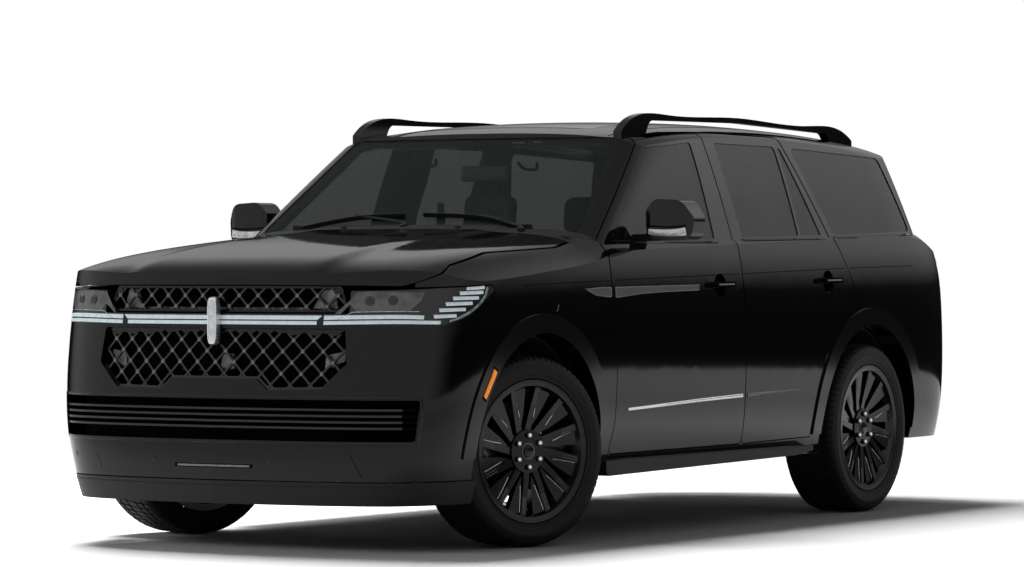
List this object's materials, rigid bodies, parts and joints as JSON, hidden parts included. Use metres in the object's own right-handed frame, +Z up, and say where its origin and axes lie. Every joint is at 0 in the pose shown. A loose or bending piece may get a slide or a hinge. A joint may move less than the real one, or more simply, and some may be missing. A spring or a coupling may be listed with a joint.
{
  "type": "sport utility vehicle",
  "caption": "Full-size sport utility vehicle with hinged doors, bonnet and liftgate, steered front wheels and roof rails.",
  "frame": {"origin": "on the ground, at the centre of the bounding box's footprint", "axes": "+Z up, -Y is the front of the vehicle, +X is its left side"},
  "size_m": [2.469, 5.3335, 1.8861],
  "materials": {
    "black_paint": "gloss",
    "black_trim": "gloss",
    "matt_trim": "matt",
    "tinted_glass": "gloss",
    "lamp": "gloss",
    "red_lamp": "gloss",
    "frame_steel": "satin",
    "cast_parts": "rough",
    "alloy": "gloss",
    "tyre": "matt",
    "cabin_trim": "matt",
    "seat_leather": "satin",
    "carpet": "matt",
    "steel": "satin"
  },
  "bodies": {
    "shell": {"body_sides": "black_paint", "fixed_glass": "tinted_glass", "roof_panel": "black_paint", "roof_rails": "black_trim", "front_fenders": "black_paint", "cowl": "matt_trim", "front_bumper": "black_paint", "front_lip": "matt_trim", "grilles": "black_trim", "headlamps": "lamp", "rear_bumper": "black_paint", "tail_lamps": "red_lamp", "arch_mouldings": "black_trim", "running_boards": "matt_trim", "arch_liners": "matt_trim", "chassis_frame": "frame_steel", "floor_pan": "carpet", "engine": "cast_parts", "driveline": "cast_parts", "exhaust": "steel", "fuel_tank": "matt_trim", "suspension": "cast_parts", "dashboard": "cabin_trim", "seats": "seat_leather"},
    "bonnet": {"bonnet": "black_paint"},
    "liftgate": {"liftgate": "black_paint", "liftgate_glass": "tinted_glass"},
    "steering_wheel": {"steering_wheel": "cabin_trim"},
    "front_door_left": {"front_door_left": "black_paint", "front_door_glass_left": "tinted_glass", "mirror_left": "black_trim"},
    "rear_door_left": {"rear_door_left": "black_paint", "rear_door_glass_left": "tinted_glass"},
    "knuckle_left": {"knuckle_left": "cast_parts"},
    "front_door_right": {"front_door_right": "black_paint", "front_door_glass_right": "tinted_glass", "mirror_right": "black_trim"},
    "rear_door_right": {"rear_door_right": "black_paint", "rear_door_glass_right": "tinted_glass"},
    "knuckle_right": {"knuckle_right": "cast_parts"},
    "wheel_front_left": {"rim_front_left": "alloy", "tyre_front_left": "tyre"},
    "wheel_front_right": {"rim_front_right": "alloy", "tyre_front_right": "tyre"},
    "wheel_rear_left": {"rim_rear_left": "alloy", "tyre_rear_left": "tyre"},
    "wheel_rear_right": {"rim_rear_right": "alloy", "tyre_rear_right": "tyre"}
  },
  "joints": [
    {"name": "bonnet_hinge", "type": "hinge", "parent": "shell", "child": "bonnet", "pos_m": [0, -1.249, 1.362], "axis": [-1, 0, 0], "range_deg": [0, 50]},
    {"name": "liftgate_hinge", "type": "hinge", "parent": "shell", "child": "liftgate", "pos_m": [0, 1.945, 1.826], "axis": [1, 0, 0], "range_deg": [0, 78]},
    {"name": "front_door_left_hinge", "type": "hinge", "parent": "shell", "child": "front_door_left", "pos_m": [1.012, -1.069, 0.9], "axis": [0, 0, -1], "range_deg": [0, 65]},
    {"name": "rear_door_left_hinge", "type": "hinge", "parent": "shell", "child": "rear_door_left", "pos_m": [1.012, 0.106, 0.9], "axis": [0, 0, -1], "range_deg": [0, 65]},
    {"name": "steer_left", "type": "hinge", "parent": "shell", "child": "knuckle_left", "pos_m": [0.8, -1.642, 0.406], "axis": [0, 0, 1], "range_deg": [-15, 50]},
    {"name": "front_door_right_hinge", "type": "hinge", "parent": "shell", "child": "front_door_right", "pos_m": [-1.012, -1.069, 0.9], "axis": [0, 0, 1], "range_deg": [0, 65]},
    {"name": "rear_door_right_hinge", "type": "hinge", "parent": "shell", "child": "rear_door_right", "pos_m": [-1.012, 0.106, 0.9], "axis": [0, 0, 1], "range_deg": [0, 65]},
    {"name": "steer_right", "type": "hinge", "parent": "shell", "child": "knuckle_right", "pos_m": [-0.8, -1.642, 0.406], "axis": [0, 0, 1], "range_deg": [-15, 50]},
    {"name": "steering_column", "type": "hinge", "parent": "shell", "child": "steering_wheel", "pos_m": [0.4, -0.642, 1.02], "axis": [0, 0.9063, 0.4226], "range_deg": [-240, 800]},
    {"name": "spin_front_left", "type": "hinge", "parent": "knuckle_left", "child": "wheel_front_left", "pos_m": [0.85522, -1.65973, 0.406], "axis": [0.9521, -0.3057, 0], "continuous": true},
    {"name": "spin_rear_left", "type": "hinge", "parent": "shell", "child": "wheel_rear_left", "pos_m": [0.858, 1.46, 0.406], "axis": [1, 0, 0], "continuous": true},
    {"name": "spin_front_right", "type": "hinge", "parent": "knuckle_right", "child": "wheel_front_right", "pos_m": [-0.85522, -1.62427, 0.406], "axis": [0.9521, -0.3057, 0], "continuous": true},
    {"name": "spin_rear_right", "type": "hinge", "parent": "shell", "child": "wheel_rear_right", "pos_m": [-0.858, 1.46, 0.406], "axis": [1, 0, 0], "continuous": true}
  ],
  "couplings": [
    {"joint": "steer_right", "follows": "steer_left", "ratio": 1},
    {"joint": "steering_column", "follows": "steer_left", "ratio": 15}
  ]
}
